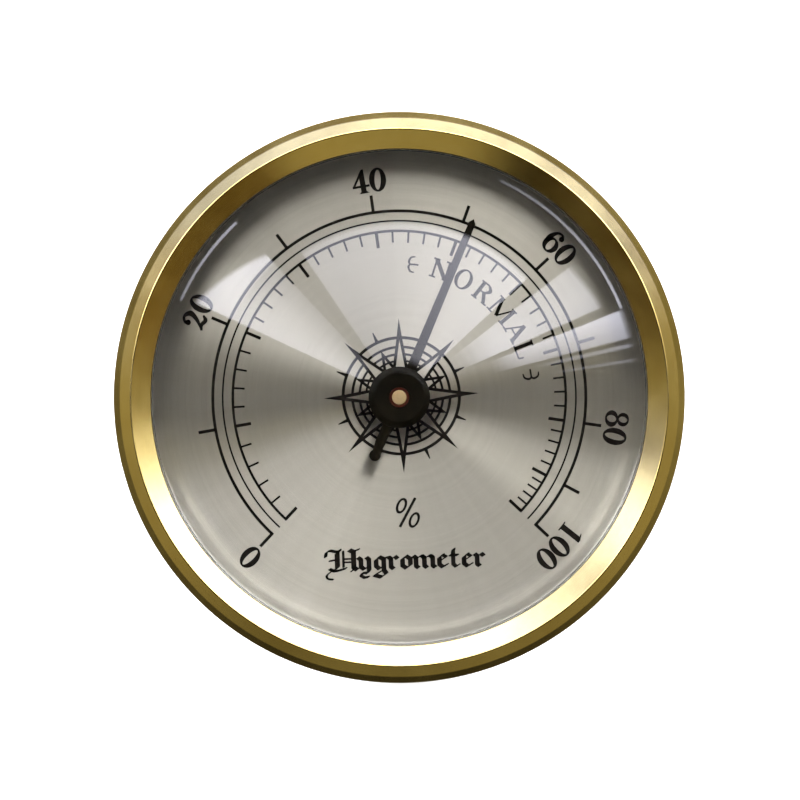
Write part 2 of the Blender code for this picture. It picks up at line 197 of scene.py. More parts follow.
def spun_dial(name):
    """Silver-champagne metal, brushed in circles, so that light gathers in wedges."""
    shader = Shader(name, Metallic=1.0, Anisotropic=1.0, Anisotropic_Rotation=0.25)
    x, _, z, radius = shader.place()
    tangent = shader.node("Tangent", direction_type="RADIAL", axis="Y")
    shader.link(tangent.outputs[0], "Tangent")
    rings = shader.noise(14000.0, 4.0, w=radius, roughness=0.75)
    wide = shader.noise(1400.0, 3.0, w=radius)
    angle = shader.math("ARCTAN2", x, z)
    rays = shader.noise(7.0, 5.0, w=angle, roughness=0.7)
    tone = shader.math("MULTIPLY", rings, 0.55)
    for part, share in ((wide, 0.2), (rays, 0.25)):
        tone = shader.math("ADD", tone, shader.math("MULTIPLY", part, share))
    shade = shader.ramp(tone, 0.0, 1.0, 0.3, 0.7)
    shader.colour(shade, rgb(0.53, 0.49, 0.41), rgb(0.68, 0.64, 0.555))
    shader.link(shader.ramp(tone, 0.33, 0.40, 0.3, 0.7), "Roughness")
    shader.bump(rings, 0.06, 0.01)
    return shader.material


def painted(name, colour, light, roughness):
    """Paint or lacquer with a faint orange peel and rubbed spots."""
    shader = Shader(name, Specular_IOR_Level=0.05)
    cloudy = shader.noise(240.0, 4.0)
    fine = shader.noise(2600.0, 3.0)
    shader.colour(shader.ramp(cloudy, 0.0, 1.0, 0.4, 0.75), colour, light)
    shader.link(shader.ramp(fine, roughness - 0.08, roughness + 0.08), "Roughness")
    shader.bump(fine, 0.15, 0.02)
    return shader.material


def drawn_metal(name, colour, dark, roughness):
    """Sheet metal drawn into a cup: rings on the floor, streaks along the wall."""
    shader = Shader(name, Metallic=1.0)
    x, _, z, radius = shader.place()
    angle = shader.math("ARCTAN2", x, z)
    streaks = shader.noise(140.0, 4.0, w=angle, roughness=0.75)
    rings = shader.noise(2600.0, 3.0, w=radius, roughness=0.7)
    on_wall = shader.ramp(radius, 0.0, 1.0, 30.8 * MM, 31.8 * MM)
    lines = shader.node("Mix", {0: on_wall, 2: rings, 3: streaks}).outputs[0]
    stains = shader.noise(90.0, 5.0)
    shade = shader.ramp(shader.math("MULTIPLY", lines, stains), 0.0, 1.0, 0.12, 0.36)
    shader.colour(shade, dark, colour)
    shader.link(shader.ramp(stains, roughness - 0.1, roughness + 0.1, 0.3, 0.7), "Roughness")
    shader.bump(lines, 0.22, 0.03)
    return shader.material


def rubber(name):
    shader = Shader(name, Specular_IOR_Level=0.1)
    fine = shader.noise(5200.0, 4.0)
    cloudy = shader.noise(900.0, 4.0)
    shader.colour(cloudy, rgb(0.010, 0.010, 0.0095), rgb(0.018, 0.0175, 0.016))
    shader.link(shader.ramp(cloudy, 0.58, 0.7), "Roughness")
    shader.bump(fine, 0.35, 0.04)
    return shader.material


def glass(name):
    """Clear glass with the faintest haze, as a wiped lens has."""
    shader = Shader(name, Roughness=0.0, IOR=1.65, Transmission_Weight=1.0)
    cloudy = shader.noise(120.0, 3.0)
    shader.colour(cloudy, rgb(0.965, 0.975, 0.965), rgb(1.0, 1.0, 1.0))
    return shader.material


def ink(name):
    shader = Shader(name, Specular_IOR_Level=0.04)
    fine = shader.noise(9000.0, 3.0)
    shader.colour(fine, rgb(0.003, 0.002, 0.0015), rgb(0.009, 0.007, 0.005))
    shader.link(shader.ramp(fine, 0.4, 0.6), "Roughness")
    return shader.material


def coil_strip(name):
    """A metal strip with a pale moisture sensitive coat on one side."""
    shader = Shader(name, Metallic=0.75)
    fine = shader.noise(3000.0, 4.0)
    cloudy = shader.noise(400.0, 4.0)
    shade = shader.ramp(cloudy, 0.0, 1.0, 0.35, 0.65)
    shader.colour(shade, rgb(0.50, 0.33, 0.16), rgb(0.74, 0.55, 0.32))
    shader.link(shader.ramp(fine, 0.32, 0.55), "Roughness")
    shader.bump(fine, 0.2, 0.02)
    return shader.material


BRASS = turned_metal(
    "bezel_brass", rgb(0.70, 0.53, 0.175), rgb(0.60, 0.44, 0.13), 0.2, strength=0.12, coat=0.7
)
MOVEMENT = turned_metal("movement_brass", rgb(0.80, 0.58, 0.26), rgb(0.62, 0.42, 0.16), 0.26)
ARBOR = turned_metal("arbor_brass", rgb(0.90, 0.66, 0.34), rgb(0.74, 0.50, 0.22), 0.3)
STEEL = turned_metal("plated_steel", rgb(0.62, 0.62, 0.61), rgb(0.42, 0.42, 0.42), 0.28)
DIAL = spun_dial("spun_dial")
BLACK = painted("pointer_black", rgb(0.002, 0.0016, 0.0009), rgb(0.007, 0.0055, 0.003), 0.32)
COLLET = painted("collet_brown", rgb(0.030, 0.007, 0.004), rgb(0.06, 0.016, 0.008), 0.4)
RING_BLACK = painted("ring_black", rgb(0.02, 0.018, 0.015), rgb(0.05, 0.045, 0.038), 0.5)
CASE = drawn_metal("case_metal", rgb(0.74, 0.73, 0.71), rgb(0.52, 0.51, 0.50), 0.34)
RUBBER = rubber("rubber")
GLASS = glass("lens_glass")
INK = ink("dial_ink")
COIL = coil_strip("coil_strip")


# ---------------------------------------------------------------- shapes


def add_object(name, data):
    obj = bpy.data.objects.new(name, data)
    bpy.context.scene.collection.objects.link(obj)
    return obj


def mesh_from(name, bm):
    mesh = bpy.data.meshes.new(name)
    bm.to_mesh(mesh)
    bm.free()
    return mesh


def add_piece(name, bm, material, nodes=(), body="case", sharp=32.0):
    """Makes a piece from mesh points in millimetres, hides the CAD parts it stands for, and hangs
    it on its body.
    """
    bmesh.ops.recalc_face_normals(bm, faces=bm.faces)
    bmesh.ops.scale(bm, vec=(MM, MM, MM), verts=bm.verts)
    mesh = mesh_from(name, bm)
    mesh.shade_smooth()
    mesh.set_sharp_from_angle(angle=math.radians(sharp))
    obj = add_object(name, mesh)
    mesh.materials.append(material)
    if nodes:
        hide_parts(*nodes)
    if body:
        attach(obj, body)
    return obj


def turned_mesh(profile, steps, centre=(0.0, 0.0)):
    """A closed outline of (radius, depth) points, spun about the line along Y."""
    bm = bmesh.new()
    verts = [bm.verts.new((radius, depth, 0.0)) for radius, depth in profile]
    pairs = list(zip(verts, verts[1:]))
    if profile[0][0] or profile[-1][0]:
        pairs.append((verts[-1], verts[0]))
    edges = [bm.edges.new(pair) for pair in pairs]
    bmesh.ops.spin(
        bm, geom=verts + edges, cent=(0.0, 0.0, 0.0), axis=(0.0, 1.0, 0.0), angle=math.tau,
        steps=steps, use_merge=True,
    )
    bmesh.ops.remove_doubles(bm, verts=bm.verts, dist=1e-5)
    bmesh.ops.translate(bm, verts=bm.verts, vec=(centre[0], 0.0, centre[1]))
    return bm


def rounded(profile, closed=True, default=0.06, steps=3):
    """Rounds an outline's corners. A point is (radius, depth) or (radius, depth, rounding).
    A point just off each end of a rounding keeps the straight parts shaded flat."""
    longest_share, just_off = 0.42, 1.12
    points = []
    count = len(profile)
    for index, corner in enumerate(profile):
        size = corner[2] if len(corner) > 2 else default
        here = Vector(corner[:2])
        inside = closed or 0 < index < count - 1
        if not size or not inside:
            points.append(tuple(here))
            continue
        before = Vector(profile[index - 1][:2]) - here
        after = Vector(profile[(index + 1) % count][:2]) - here
        reach = min(size, longest_share * before.length, longest_share * after.length)
        start = here + before.normalized() * reach
        end = here + after.normalized() * reach
        points.append(tuple(here + before.normalized() * reach * just_off))
        for step in range(steps + 1):
            share = step / steps
            points.append(tuple(
                start * (1 - share) ** 2 + here * 2 * share * (1 - share) + end * share**2
            ))
        points.append(tuple(here + after.normalized() * reach * just_off))
    return points


def dome(radius, edge_depth, apex):
    """The arc from the edge of a dome to its apex, on the axis."""
    points = 28
    rise = edge_depth - apex
    sphere = (radius * radius + rise * rise) / (2.0 * rise)
    outline = []
    for index in range(points + 1):
        r = radius * (1.0 - index / points)
        outline.append((r, apex + sphere - math.sqrt(sphere * sphere - r * r)))
    return outline


def ring(inner_r, outer_r, front, back):
    return [(inner_r, front), (outer_r, front), (outer_r, back), (inner_r, back)]


def turned_piece(name, profile, material, slot, nodes=(), body="case", steps=256, **rounding):
    return add_piece(
        name, turned_mesh(rounded(profile, **rounding), steps), material, nodes, body
    )


# ---------------------------------------------------------------- outside


def make_bezel():
    profile = [
        (SIGHT_R, SIGHT_DEPTH, 0.1),
        (RIDGE_R, RIDGE_DEPTH, 0.14),
        (FACET_R, FACET_DEPTH, 0.1),
        (BEZEL_R, FACET_DEPTH + 0.9, 0.25),
        (BEZEL_R, 0.0, 0.2),
        (BEZEL_BORE_R, 0.0, 0.1),
        (BEZEL_BORE_R, LIP_DEPTH, 0.04),
        (SIGHT_R, LIP_DEPTH, 0.06),
    ]
    turned_piece("bezel_ring", profile, BRASS, "bezel_brass", ["bezel"], steps=360)


def make_lens():
    gasket_back = LIP_DEPTH + 0.4
    gasket = ring(SIGHT_R + 0.3, LENS_R, LIP_DEPTH + GAP, gasket_back)
    turned_piece("lens_seal", gasket, RUBBER, "rubber", ["lens_gasket"], steps=180)
    rim_front = gasket_back + GAP
    inner_r = DOME_R - 0.1
    outer = dome(DOME_R, DOME_DEPTH, APEX_DEPTH)
    inner = dome(inner_r, DOME_DEPTH + LENS_THICK, APEX_DEPTH + LENS_THICK)
    corners = [
        inner[0], (inner_r, LENS_BACK, 0.1), (LENS_R, LENS_BACK, 0.15),
        (LENS_R, rim_front, 0.15), (DOME_R, rim_front, 0.1), outer[0],
    ]
    profile = inner[:0:-1] + rounded(corners, closed=False, steps=5) + outer[1:]
    lens = add_piece(
        "lens_dome", turned_mesh(profile, 256), GLASS, ["lens"], sharp=60.0
    )
    lens.visible_shadow = False
    spacer = ring(SIGHT_R + 0.2, LENS_R, LENS_BACK + GAP, DIAL_FRONT - GAP)
    turned_piece("dial_spacer", spacer, RING_BLACK, "ring_black", ["spacer_ring"], steps=180)


def make_dial():
    profile = ring(DIAL_HOLE_R, LENS_R, DIAL_FRONT, DIAL_BACK)
    turned_piece("dial_face", profile, DIAL, "dial_silver", ["dial_plate"], default=0.03)


def drill(bm, places, radius, front, back):
    """Cuts round holes along Y out of a mesh, and returns the result."""
    steps = 32
    obj = add_object("drilled", mesh_from("drilled", bm))
    tool = bmesh.new()
    for x, z in places:
        part = turned_mesh(ring(0.0, radius, front, back), steps, (x, z))
        bmesh.ops.recalc_face_normals(part, faces=part.faces)
        mesh = mesh_from("tool", part)
        tool.from_mesh(mesh)
        bpy.data.meshes.remove(mesh)
    tools = add_object("tools", mesh_from("tools", tool))
    cut = obj.modifiers.new("cut", "BOOLEAN")
    cut.operation = "DIFFERENCE"
    cut.solver = "EXACT"
    cut.object = tools
    graph = bpy.context.evaluated_depsgraph_get()
    done = bmesh.new()
    done.from_mesh(obj.evaluated_get(graph).to_mesh())
    obj.evaluated_get(graph).to_mesh_clear()
    for used in (obj, tools):
        data = used.data
        bpy.data.objects.remove(used)
        bpy.data.meshes.remove(data)
    return done


def make_case():
    sleeve = ring(SLEEVE_R, CASE_INNER_R - GAP, DIAL_BACK + GAP, CASE_FLOOR - GAP)
    turned_piece("seat_sleeve", sleeve, CASE, "case_metal", ["dial_seat_sleeve"], steps=128)
    corners = [
        (CASE_INNER_R, LIP_DEPTH + GAP), (CASE_R, LIP_DEPTH + GAP), (CASE_R, CASE_DEPTH, 1.5),
        (ACCESS_R, CASE_DEPTH, 0.15), (ACCESS_R, CASE_FLOOR, 0.1), (CASE_INNER_R, CASE_FLOOR, 0.6),
    ]
    cup = turned_mesh(rounded(corners, steps=8), 256)
    places = []
    for ring_r, count in VENT_RINGS:
        for index in range(count):
            places.append(polar(ring_r, 360.0 * (index + 0.5) / count))
    cup = drill(cup, places, VENT_R, CASE_FLOOR - 1, CASE_DEPTH + 1)
    add_piece("case_shell", cup, CASE, ["case_cup"], sharp=28.0)
    make_mounting_gasket()


def make_mounting_gasket():
    """A rubber sleeve round the case, with three ribs."""
    front, pitch, ribs = 3.0, 1.8, 3
    back, inner_r = front + ribs * pitch, CASE_R + GAP
    valley_r, rib_r = inner_r + 0.45, inner_r + 0.95
    profile = [(inner_r, back, 0.05), (inner_r, front, 0.05)]
    for rib in range(ribs):
        start = front + rib * pitch
        profile.append((valley_r, start, 0.12))
        profile.append((rib_r, start + 0.5 * pitch, 0.35))
    profile.append((valley_r, back, 0.12))
    turned_piece("panel_seal", profile, RUBBER, "rubber", ["mounting_gasket"])


# ---------------------------------------------------------------- pointer


def plate_mesh(outline, front, back, bevel):
    """A flat plate whose outline is (x, z) points, with its edges bevelled."""
    bm = bmesh.new()
    face = bm.faces.new([bm.verts.new((x, front, z)) for x, z in outline])
    made = bmesh.ops.extrude_face_region(bm, geom=[face])
    moved = [item for item in made["geom"] if isinstance(item, bmesh.types.BMVert)]
    bmesh.ops.translate(bm, verts=moved, vec=(0.0, back - front, 0.0))
    bmesh.ops.recalc_face_normals(bm, faces=bm.faces)
    rims = [
        edge for edge in bm.edges
        if abs(edge.verts[0].co.y - edge.verts[1].co.y) < 1e-6
    ]
    bmesh.ops.bevel(bm, geom=rims, offset=bevel, segments=2, affect="EDGES", profile=0.7)
    return bm


def pointer_outline():
    """A slender blade, a disc round the pivot, and a short tail with a rounded end."""
    tip_half, tip_length, root_half = 0.42, 0.5, 0.62
    middle_r, middle_steps = 2.6, 16
    tail_half, neck_half, neck_length = 0.56, 0.64, 2.4
    end_r, end_steps = 0.71, 7
    right = [(0.0, BLADE_R), (tip_half, BLADE_R - tip_length)]
    start = math.asin(root_half / middle_r)
    end = math.pi - math.asin(tail_half / middle_r)
    for index in range(middle_steps + 1):
        turn = start + (end - start) * index / middle_steps
        right.append((middle_r * math.sin(turn), middle_r * math.cos(turn)))
    right.append((neck_half, -TAIL_R + neck_length))
    for index in range(end_steps + 1):
        turn = math.radians(45.0 + index * 18.0)
        right.append((end_r * math.sin(turn), -TAIL_R + end_r + end_r * math.cos(turn)))
    left = [(-x, z) for x, z in right if x > 0.0]
    return right + [(0.0, -TAIL_R)] + left[::-1]


def make_pointer():
    back, hole_r, bevel = POINTER_FRONT + POINTER_THICK, 1.25, 0.06
    bm = plate_mesh(pointer_outline(), POINTER_FRONT, back, bevel)
    bm = drill(bm, [(0.0, 0.0)], hole_r, POINTER_FRONT - 1, back + 1)
    turn = Matrix.Rotation(math.radians(REST_ANGLE), 4, "Y")
    bmesh.ops.transform(bm, matrix=turn, verts=bm.verts)
    body = "pointer_assembly"
    add_piece("pointer_blade", bm, BLACK, ["pointer"], body)
    disc_back = POINTER_FRONT - GAP
    disc_front = disc_back - 0.55
    disc = [
        (hole_r, disc_front, 0.03),
        (HUB_R - 0.75, disc_front, 0.12),
        (HUB_R, disc_back - 0.2, 0.05),
        (HUB_R, disc_back, 0.04),
        (hole_r, disc_back, 0.03),
    ]
    turned_piece("hub_disc", disc, BLACK, "pointer_black", ["pointer_hub_disc"], body, 128)
    bore_r, neck_r, flange_r = ARBOR_R + 0.03, 1.2, 1.7
    collet_front, collet_back = disc_back - 0.75, back + 1.0
    collet = [
        (bore_r, collet_front, 0.03),
        (neck_r, collet_front, 0.1),
        (neck_r, back + GAP, 0.02),
        (flange_r, back + GAP, 0.05),
        (flange_r, collet_back, 0.05),
        (bore_r, collet_back, 0.03),
    ]
    turned_piece("hub_collet", collet, COLLET, "pointer_black", ["pointer_collet"], body, 64)
    tip, shoulder, pivot_r, pivot_length = disc_back - 0.95, 10.6, 0.5, 1.8
    arbor = [
        (0.0, tip),
        (0.25, tip + 0.03, 0.1),
        (ARBOR_R, tip + 0.05, 0.14),
        (ARBOR_R, shoulder, 0.04),
        (pivot_r, shoulder, 0.04),
        (pivot_r, shoulder + pivot_length, 0.08),
        (0.0, shoulder + pivot_length),
    ]
    turned_piece(
        "arbor_spindle", arbor, ARBOR, "movement_brass", ["arbor"], body, 64, closed=False
    )


# ---------------------------------------------------------------- print


class Print:
    """Flat shapes of ink, gathered as polygons of (x, z) points in millimetres."""

    def __init__(self):
        self.shapes = []
        self.placing = Matrix.Identity(3)

    def move(self, x, z, angle=0.0, size=1.0, stretch=1.0):
        """Later shapes are widened by stretch, turned clockwise, scaled and put at (x, z)."""
        across_x, across_z = polar(size * stretch, angle + 90.0)
        up_x, up_z = polar(size, angle)
        self.placing = Matrix(((across_x, up_x, x), (across_z, up_z, z), (0.0, 0.0, 1.0)))

    def placed(self, points):
        moved = [self.placing @ Vector((x, z, 1.0)) for x, z in points]
        return [(point.x, point.y) for point in moved]

    def polygon(self, points):
        self.shapes.append([self.placed(points)])

    def strip(self, left, right, closed=False):
        """A band between two rows of points, as joined quads."""
        left, right = self.placed(left), self.placed(right)
        count = len(left)
        quads = []
        for index in range(count if closed else count - 1):
            after = (index + 1) % count
            quads.append([left[index], left[after], right[after], right[index]])
        self.shapes.append(quads)

    def line(self, start, end, width, end_width=None):
        a, b = Vector(start), Vector(end)
        side = (b - a).orthogonal().normalized()
        first, last = side * width / 2, side * (end_width or width) / 2
        self.polygon([tuple(a - first), tuple(b - last), tuple(b + last), tuple(a + first)])

    def arc(self, radius, start, end, width):
        longest_step = 1.5
        count = max(2, math.ceil(abs(end - start) / longest_step))
        angles = [start + (end - start) * index / count for index in range(count + 1)]
        inner = [polar(radius - width / 2, angle) for angle in angles]
        outer = [polar(radius + width / 2, angle) for angle in angles]
        self.strip(inner, outer)

    def ray(self, angle, inner, outer, width):
        self.line(polar(inner, angle), polar(outer, angle), width)

    def curve(self, points, widths):
        """A smooth stroke through the points, its width changing from point to point."""
        path, sizes = smooth_path(points, widths, 7)
        left, right = [], []
        for index, here in enumerate(path):
            before = path[max(index - 1, 0)]
            after = path[min(index + 1, len(path) - 1)]
            side = (after - before).orthogonal().normalized() * sizes[index] / 2
            left.append(tuple(here - side))
            right.append(tuple(here + side))
        self.strip(left, right)

    def oval(self, x, z, rx, rz, side, thin, lean=0.0, slant=0.0, steps=40):
        """A ring that is thick at its sides and thin at top and bottom. Its hole can be
        turned by lean, and the whole ring can be slanted."""
        outer, inner = [], []
        tilt = math.radians(lean)
        for index in range(steps):
            turn = math.tau * index / steps
            for row, a, b, shift in ((outer, rx, rz, 0.0), (inner, rx - side, rz - thin, tilt)):
                px, pz = a * math.sin(turn), b * math.cos(turn)
                row.append((
                    x + px * math.cos(shift) + pz * math.sin(shift) + slant * pz,
                    z - px * math.sin(shift) + pz * math.cos(shift),
                ))
        self.strip(outer, inner, closed=True)

    def nib(self, points, width=0.27, steps=0):
        """A pen stroke with a broad nib held at an angle."""
        tilt, thin = math.radians(40.0), 0.07
        along = Vector((math.cos(tilt), math.sin(tilt))) * width / 2
        across = Vector((-math.sin(tilt), math.cos(tilt))) * thin / 2
        path = [Vector(point) for point in points]
        if steps:
            path, _ = smooth_path(points, [1.0] * len(points), steps)
        corners = [along + across, along - across, -along - across, -along + across]
        for start, end in zip(path, path[1:]):
            cloud = [start + corner for corner in corners] + [end + corner for corner in corners]
            self.polygon([tuple(cloud[index]) for index in convex_hull_2d(cloud)])

    def build(self, name):
        bm = bmesh.new()
        for quads in self.shapes:
            known = {}
            faces = []
            for quad in quads:
                corners = []
                for x, z in quad:
                    key = (round(x, 5), round(z, 5))
                    if key not in known:
                        known[key] = bm.verts.new((x, INK_FRONT, z))
                    if known[key] not in corners:
                        corners.append(known[key])
                if len(corners) > 2:
                    faces.append(bm.faces.new(corners))
            made = bmesh.ops.extrude_face_region(bm, geom=faces)
            back = [item for item in made["geom"] if isinstance(item, bmesh.types.BMVert)]
            bmesh.ops.translate(bm, verts=back, vec=(0.0, INK_BACK - INK_FRONT, 0.0))
        return add_piece(name, bm, INK, sharp=20.0)


def smooth_path(points, widths, steps):
    """A Catmull-Rom curve through the points, with the widths blended along it."""
    spots = [Vector(point) for point in points]
    ends = [spots[0] * 2 - spots[1]] + spots + [spots[-1] * 2 - spots[-2]]
    path, sizes = [], []
    for index in range(len(spots) - 1):
        p0, p1, p2, p3 = ends[index:index + 4]
        for step in range(steps + (index == len(spots) - 2)):
            t = step / steps
            path.append(0.5 * (
                p1 * 2 + (p2 - p0) * t
                + (p0 * 2 - p1 * 5 + p2 * 4 - p3) * t * t
                + (p1 * 3 - p0 - p2 * 3 + p3) * t * t * t
            ))
            sizes.append(widths[index] * (1 - t) + widths[index + 1] * t)
    return path, sizes


def scale_angle(percent):
    decade = min(int(percent // 10), 9)
    share = (percent - 10 * decade) / 10.0
    return SCALE_START + sum(DECADE_SWEEPS[:decade]) + DECADE_SWEEPS[decade] * share


def make_scale():
    """Three arcs, with long ticks on both sides at every ten and short ones at every two."""
    sheet = Print()
    start, end = scale_angle(0), scale_angle(100)
    arcs, overlap = ((22.83, 0.35), (21.62, 0.20), (20.38, 0.31)), 0.17
    long_ticks, short_ticks = ((22.8, 24.95, 0.38), (18.43, 20.35, 0.38)), ((18.96, 20.35, 0.24),)
    for radius, width in arcs:
        past = math.degrees(overlap / radius)
        sheet.arc(radius, start - past, end + past, width)
    for percent in range(0, 101, 2):
        for inner, outer, width in short_ticks if percent % 10 else long_ticks:
            sheet.ray(scale_angle(percent), inner, outer, width)
    sheet.build("scale_print")


def digit_0(sheet):
    sheet.oval(0.0, 0.0, 0.355, 0.5, 0.225, 0.085, lean=4.0)


def digit_1(sheet):
    sheet.polygon([(-0.12, -0.44), (0.12, -0.44), (0.12, 0.5), (0.0, 0.5), (-0.12, 0.4)])
    sheet.polygon([(-0.24, -0.5), (0.24, -0.5), (0.2, -0.44), (-0.2, -0.44)])
    sheet.polygon([(-0.26, 0.33), (-0.1, 0.38), (0.0, 0.5), (-0.24, 0.38)])


def digit_2(sheet):
    sheet.curve(
        [(-0.2, 0.22), (-0.2, 0.36), (0.0, 0.46), (0.2, 0.26), (0.06, -0.06), (-0.22, -0.36)],
        [0.18, 0.11, 0.10, 0.235, 0.16, 0.09],
    )
    sheet.curve([(-0.31, -0.42), (-0.1, -0.34), (0.14, -0.42), (0.31, -0.27)],
                [0.09, 0.15, 0.19, 0.07])
    sheet.oval(-0.19, 0.22, 0.115, 0.115, 0.11, 0.11, steps=16)


def digit_4(sheet):
    sheet.polygon([(-0.02, -0.42), (0.20, -0.42), (0.20, 0.5), (0.12, 0.5), (-0.02, 0.3)])
    sheet.line((-0.3, -0.19), (0.13, 0.46), 0.09)
    sheet.line((-0.35, -0.2), (0.36, -0.2), 0.095)
    sheet.polygon([(-0.12, -0.5), (0.31, -0.5), (0.19, -0.4), (0.0, -0.4)])


def digit_6(sheet):
    sheet.oval(0.0, -0.17, 0.345, 0.33, 0.21, 0.08)
    sheet.curve([(0.2, 0.34), (0.09, 0.46), (-0.12, 0.38), (-0.24, 0.1), (-0.235, -0.16)],
                [0.14, 0.08, 0.11, 0.22, 0.22])
    sheet.oval(0.18, 0.31, 0.11, 0.11, 0.105, 0.105, steps=16)


def digit_8(sheet):
    sheet.oval(0.0, 0.25, 0.285, 0.25, 0.16, 0.075, lean=12.0)
    sheet.oval(0.0, -0.23, 0.345, 0.27, 0.20, 0.075, lean=12.0)


DIGITS = {"0": digit_0, "1": digit_1, "2": digit_2, "4": digit_4, "6": digit_6, "8": digit_8}


def make_numbers():
    """The numbers at every twenty, in a bold narrow roman, tops outward."""
    sheet = Print()
    height, middle_r, advance = 2.94, 26.78, 2.15
    for percent in range(0, 101, 20):
        text = str(percent)
        for index, character in enumerate(text):
            offset = advance * (index - (len(text) - 1) / 2.0)
            angle = scale_angle(percent) + math.degrees(offset / middle_r)
            sheet.move(*polar(middle_r, angle), angle, height)
            DIGITS[character](sheet)
    sheet.build("number_print")


def serif(sheet, x, z):
    sheet.line((x - 0.17, z), (x + 0.17, z), 0.08)


def stem(sheet, x, width=0.19):
    """An upright with a flat serif at each end."""
    sheet.line((x, -0.5), (x, 0.5), width)
    serif(sheet, x, -0.46)
    serif(sheet, x, 0.46)


def letter_n(sheet):
    stem(sheet, -0.34, 0.10)
    stem(sheet, 0.34, 0.10)
    sheet.line((-0.36, 0.46), (0.34, -0.46), 0.20)


def letter_o(sheet):
    sheet.oval(0.0, 0.0, 0.46, 0.53, 0.19, 0.08)


def letter_r(sheet):
    stem(sheet, -0.24)
    sheet.curve([(-0.2, 0.46), (0.06, 0.45), (0.26, 0.24), (0.06, 0.02), (-0.2, 0.0)],
                [0.08, 0.09, 0.20, 0.09, 0.08])
    sheet.line((0.04, 0.02), (0.34, -0.44), 0.18)
    sheet.line((0.22, -0.46), (0.52, -0.46), 0.08)


def letter_m(sheet):
    stem(sheet, -0.46, 0.10)
    stem(sheet, 0.46, 0.19)
    sheet.line((-0.44, 0.46), (0.0, -0.40), 0.18)
    sheet.line((0.0, -0.40), (0.42, 0.46), 0.08)


def letter_a(sheet):
    sheet.line((-0.36, -0.46), (0.02, 0.5), 0.08)
    sheet.line((0.0, 0.5), (0.36, -0.46), 0.20)
    sheet.line((-0.2, -0.14), (0.2, -0.14), 0.08)
    for x in (-0.36, 0.38):
        serif(sheet, x, -0.46)


def letter_l(sheet):
    stem(sheet, -0.18)
    sheet.line((-0.18, -0.46), (0.36, -0.46), 0.08)
    sheet.line((0.36, -0.46), (0.39, -0.2), 0.10, 0.07)


def brace(sheet, side):
    """A small ornament: a dash into a curly bracket, opening to one side."""
    points = [(-0.2, 0.42), (0.02, 0.36), (0.12, 0.14), (0.06, 0.0),
              (0.12, -0.14), (0.02, -0.36), (-0.2, -0.42)]
    flipped = [(side * x, z) for x, z in points]
    sheet.curve(flipped, [0.06, 0.10, 0.12, 0.09, 0.12, 0.10, 0.06])
    sheet.line((side * 0.06, 0.0), (side * -0.4, 0.0), 0.09)


def make_zone_word():
    """The word for the comfortable zone, in roman capitals along an arc."""
    sheet = Print()
    middle, radius, height = 45.0, 16.45, 2.4
    letters = (
        (-24.9, letter_n), (-14.4, letter_o), (-4.4, letter_r),
        (6.7, letter_m), (17.3, letter_a), (25.9, letter_l),
    )
    for offset, letter in letters:
        sheet.move(*polar(radius, middle + offset), middle + offset, height)
        letter(sheet)
    brace_offset, brace_r, brace_height = 38.0, 16.35, 2.3
    for side in (-1.0, 1.0):
        angle = middle + side * brace_offset
        sheet.move(*polar(brace_r, angle), angle, brace_height)
        brace(sheet, side)
    sheet.build("zone_print")


def make_percent():
    """The percent sign, whose two rings are slanted."""
    sheet = Print()
    sheet.move(0.5, -14.15, size=3.66)
    sheet.line((-0.27, -0.47), (0.28, 0.49), 0.09)
    for x, z in ((-0.19, 0.24), (0.22, -0.25)):
        sheet.oval(x, z, 0.18, 0.26, 0.085, 0.08, slant=0.3, steps=32)
    sheet.build("percent_print")


def pen_minim(sheet, x):
    sheet.nib([(x - 0.1, 0.88), (x + 0.02, 0.76), (x + 0.02, 0.22), (x + 0.14, 0.1)])


def pen_h(sheet):
    """The large first letter, with a double upright and two flourishes."""
    sheet.nib([(-0.15, 1.02), (-0.1, 1.3), (0.1, 1.42), (0.42, 1.34), (0.62, 1.46)], 0.2, steps=4)
    sheet.nib([(0.58, 1.38), (0.46, 1.24), (0.46, 0.3), (0.3, 0.12)], 0.3)
    sheet.nib([(0.78, 1.36), (0.78, 0.3)], 0.12)
    sheet.nib([(0.05, 0.74), (0.4, 0.8)], 0.12)
    sheet.nib([(0.05, 0.2), (0.3, 0.06), (0.62, 0.12), (0.9, 0.22)], 0.2, steps=4)
    sheet.nib([(0.1, 0.02), (-0.12, -0.22), (-0.06, -0.44), (0.2, -0.5)], 0.12, steps=4)
    for z in (0.62, 0.84):
        sheet.nib([(0.78, z), (1.22, z)], 0.1)
    sheet.nib([(1.12, 1.42), (1.32, 1.3), (1.32, 0.26), (1.48, 0.1)], 0.3)
    sheet.nib([(1.3, 1.32), (1.62, 1.46)], 0.16)
    sheet.nib([(1.2, 0.02), (1.34, 0.16)], 0.2)


def pen_y(sheet):
    sheet.nib([(-0.1, 0.9), (0.04, 0.76), (0.04, 0.28), (0.2, 0.12), (0.42, 0.28)])
    sheet.nib([(0.34, 0.9), (0.46, 0.76), (0.46, 0.04), (0.36, -0.14)])
    sheet.nib([(0.4, -0.1), (0.1, -0.14), (0.02, -0.3), (0.2, -0.44), (0.42, -0.4)], 0.2)


def pen_g(sheet):
    sheet.nib([(0.24, 0.9), (0.04, 0.72), (0.04, 0.3), (0.2, 0.12), (0.42, 0.28)])
    sheet.nib([(0.2, 0.9), (0.44, 0.76), (0.44, 0.02), (0.56, -0.2), (0.3, -0.44), (-0.06, -0.3)])
    sheet.nib([(-0.04, -0.28), (0.3, -0.04)], 0.16)
    sheet.nib([(0.42, 0.78), (0.66, 0.88)], 0.18)


def pen_r(sheet):
    pen_minim(sheet, 0.0)
    sheet.nib([(0.06, 0.74), (0.24, 0.9), (0.36, 0.76)])


